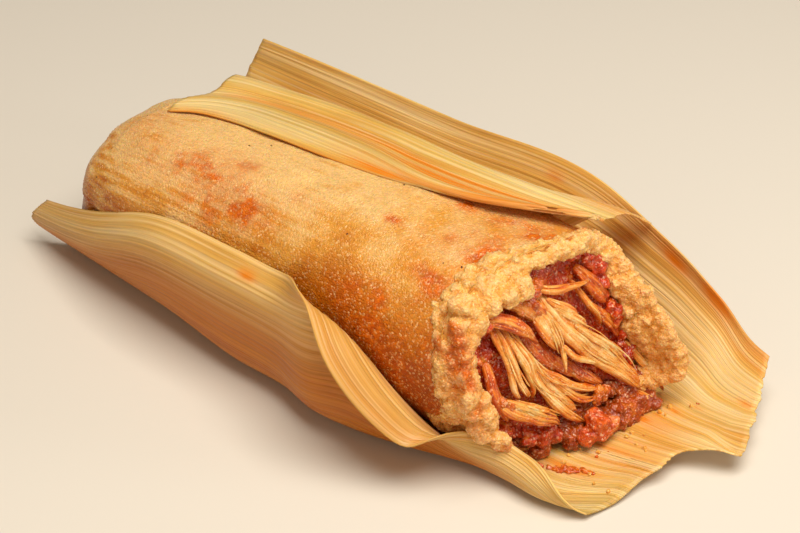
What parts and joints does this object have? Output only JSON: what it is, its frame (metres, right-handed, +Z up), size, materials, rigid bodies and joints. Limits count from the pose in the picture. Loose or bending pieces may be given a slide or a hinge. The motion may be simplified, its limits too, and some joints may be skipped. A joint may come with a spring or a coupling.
{
  "type": "tamale",
  "caption": "Steamed corn-dough tamale on its opened corn husk, one end torn open to show a shredded chicken filling in red sauce.",
  "frame": {"origin": "middle of the underside, on the surface the tamale rests on", "axes": "+X along the tamale towards the torn end, +Y to the side of the taller plain husk wall, +Z up"},
  "size_m": [0.1572, 0.0778, 0.0396],
  "materials": {
    "husk_outer": "dried corn husk, damp and faintly waxy, ribbed",
    "husk_inner": "dried corn husk stained with chile fat",
    "masa": "steamed corn dough, moist and fine-grained",
    "filling": "wet red chile sauce with minced meat",
    "meat": "shredded chicken, wet with sauce",
    "tomato": "wet stewed tomato"
  },
  "bodies": {
    "root": {"husk_outer": "husk_outer", "husk_inner": "husk_inner", "masa": "masa", "filling": "filling", "shred_bent": "meat", "shred_low": "meat", "shred_straight": "meat", "shred_hook": "meat", "shred_cross": "meat", "shred_side": "meat", "shred_tip": "meat", "tomato_piece": "tomato"}
  },
  "joints": []
}
